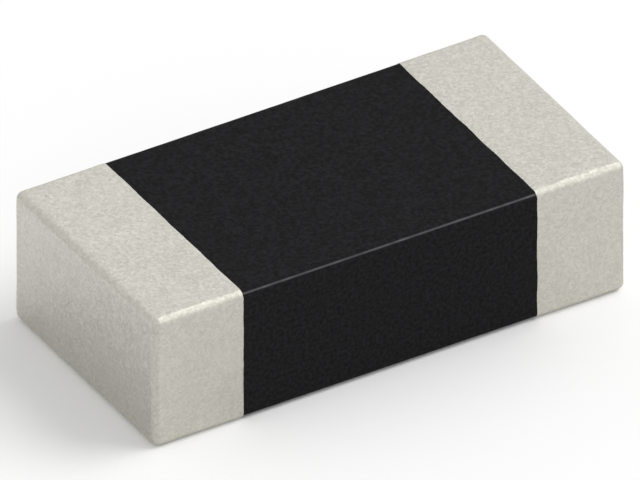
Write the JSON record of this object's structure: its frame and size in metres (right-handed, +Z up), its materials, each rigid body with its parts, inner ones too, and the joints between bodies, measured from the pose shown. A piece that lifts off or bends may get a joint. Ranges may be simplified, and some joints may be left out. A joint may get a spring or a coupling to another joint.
{
  "type": "chip resistor",
  "caption": "Small rectangular surface-mount resistor: a black-coated ceramic block with a wrap-around tin-plated terminal at each end, soldered flat to a circuit board.",
  "frame": {"origin": "centre of the chip", "axes": "+X along the chip's length, from the left terminal to the right; +Y along its width; +Z up, away from the board"},
  "size_m": [0.0016, 0.0008, 0.0004],
  "materials": {
    "alumina": "matte",
    "printed_silver": "matte",
    "resistor_film": "satin",
    "overglaze": "gloss",
    "black_coat": "satin",
    "dipped_silver": "matte",
    "nickel": "satin",
    "tin": "satin"
  },
  "bodies": {
    "root": {"ceramic_substrate": "alumina", "top_electrode_left": "printed_silver", "top_electrode_right": "printed_silver", "bottom_electrode_left": "printed_silver", "bottom_electrode_right": "printed_silver", "resistor_film": "resistor_film", "glass_coat": "overglaze", "protective_coat": "black_coat", "edge_electrode_left": "dipped_silver", "edge_electrode_right": "dipped_silver", "nickel_barrier_left": "nickel", "nickel_barrier_right": "nickel", "tin_plating_left": "tin", "tin_plating_right": "tin"}
  },
  "joints": []
}
